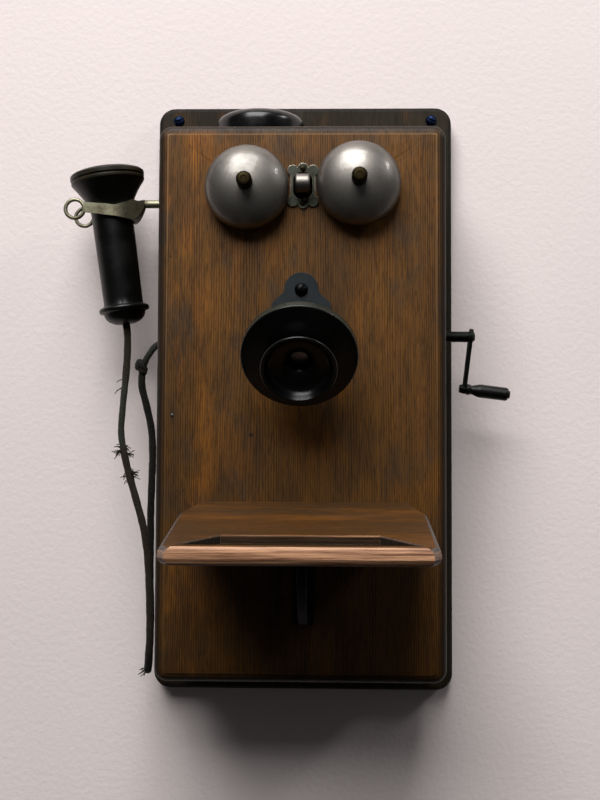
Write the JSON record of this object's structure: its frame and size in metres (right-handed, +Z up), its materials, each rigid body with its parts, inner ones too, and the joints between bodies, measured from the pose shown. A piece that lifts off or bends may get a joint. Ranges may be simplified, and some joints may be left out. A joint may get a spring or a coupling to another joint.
{
  "type": "wall telephone",
  "caption": "Oak magneto wall telephone with twin gongs, tilting transmitter, crank, hook switch, hanging receiver on a cord and a sloping writing shelf.",
  "frame": {"origin": "middle of the rectangle of four wall screw holes, on the backboard's back face", "axes": "+Z up, +X to the right for someone facing the telephone, +Y into the wall, front faces -Y"},
  "size_m": [0.4182, 0.2969, 0.571],
  "materials": {
    "oak": "worn varnish",
    "dark_oak": "worn varnish",
    "nickel": "tarnished nickel plate",
    "gong_nickel": "brushed, tarnished nickel plate",
    "brass": "aged",
    "iron": "black enamel",
    "magnet_steel": "oiled",
    "black_enamel": "glossy",
    "hard_rubber": "polished, slightly faded",
    "porcelain": "glazed",
    "silk": "matt",
    "copper_wire": "matt",
    "cell_card": "card and pitch",
    "red_fibre": "matt",
    "spring_brass": "satin",
    "cord_braid": "worn cotton braid"
  },
  "bodies": {
    "cabinet": {"backboard": "dark_oak", "left_side": "oak", "right_side": "oak", "top_board": "oak", "bottom_board": "oak", "generator_shelf": "oak", "cover_base": "porcelain", "terminal_cover": "hard_rubber", "box_hinge_leaves": "brass", "hinge_pins": "brass", "door_catch": "brass", "crank_bushing": "brass", "cord_bushing": "hard_rubber", "generator_base": "iron", "generator_end_plates": "brass", "generator_magnets": "magnet_steel", "pole_pieces": "iron", "dry_cells": "cell_card", "binding_posts": "brass", "induction_coil": "silk", "coil_base": "dark_oak", "terminal_block": "red_fibre", "hook_frame": "iron", "hook_pin": "brass", "spring_block": "red_fibre", "switch_springs": "spring_brass", "receiver_cord": "cord_braid"},
    "door": {"door_panel": "oak", "door_hinge_leaves": "brass", "gong_left": "gong_nickel", "gong_right": "gong_nickel", "gong_posts": "brass", "gong_nuts": "brass", "hammer_plate": "nickel", "ringer_frame": "iron", "ringer_coils": "copper_wire", "ringer_magnet": "magnet_steel", "transmitter_bracket": "black_enamel", "tilt_bolt": "nickel", "writing_shelf": "oak", "shelf_stay": "iron"},
    "clapper": {"clapper_armature": "magnet_steel", "clapper_rod": "nickel", "hammer": "nickel"},
    "transmitter": {"transmitter_case": "black_enamel", "transmitter_face": "black_enamel", "mouthpiece": "hard_rubber", "transmitter_diaphragm": "nickel", "carbon_button": "brass"},
    "crank": {"crank_shaft": "iron", "drive_gear": "brass", "crank_arm": "iron", "grip_pin": "iron"},
    "grip": {"crank_grip": "hard_rubber"},
    "armature": {"generator_armature": "magnet_steel", "pinion": "brass"},
    "hook": {"hook_lever": "nickel"},
    "receiver": {"receiver_ear_cap": "hard_rubber", "receiver_shell": "hard_rubber", "receiver_magnet": "magnet_steel"}
  },
  "joints": [
    {"name": "door_swing", "type": "hinge", "parent": "cabinet", "child": "door", "pos_m": [-0.1266, -0.1089, -0.008], "axis": [0, 0, -1], "range_deg": [0, 95]},
    {"name": "clapper_swing", "type": "hinge", "parent": "door", "child": "clapper", "pos_m": [0.001, -0.0982, 0.138], "axis": [0, 1, 0], "range_deg": [-5, 5]},
    {"name": "transmitter_tilt", "type": "hinge", "parent": "door", "child": "transmitter", "pos_m": [0, -0.16, 0.048], "axis": [-1, 0, 0], "range_deg": [-12, 45]},
    {"name": "crank_turn", "type": "hinge", "parent": "cabinet", "child": "crank", "pos_m": [0.155, -0.065, 0.054], "axis": [1, 0, 0], "continuous": true},
    {"name": "grip_spin", "type": "hinge", "parent": "crank", "child": "grip", "pos_m": [0.15177, -0.065, 0.00487], "axis": [0.9925, 0, -0.1219], "continuous": true},
    {"name": "armature_spin", "type": "hinge", "parent": "cabinet", "child": "armature", "pos_m": [0.06, -0.065, 0.009], "axis": [1, 0, 0], "continuous": true},
    {"name": "receiver_lift", "type": "slide", "parent": "cabinet", "child": "receiver", "axis": [-0.7071, 0, 0.7071], "range_m": [0, 0.12]},
    {"name": "hook_rise", "type": "hinge", "parent": "cabinet", "child": "hook", "pos_m": [-0.08, -0.065, 0.18], "axis": [0, 1, 0], "range_deg": [0, 12]}
  ],
  "couplings": [
    {"joint": "armature_spin", "follows": "crank_turn", "ratio": -5},
    {"joint": "hook_rise", "follows": "receiver_lift", "rad_per_m": 1.745}
  ]
}
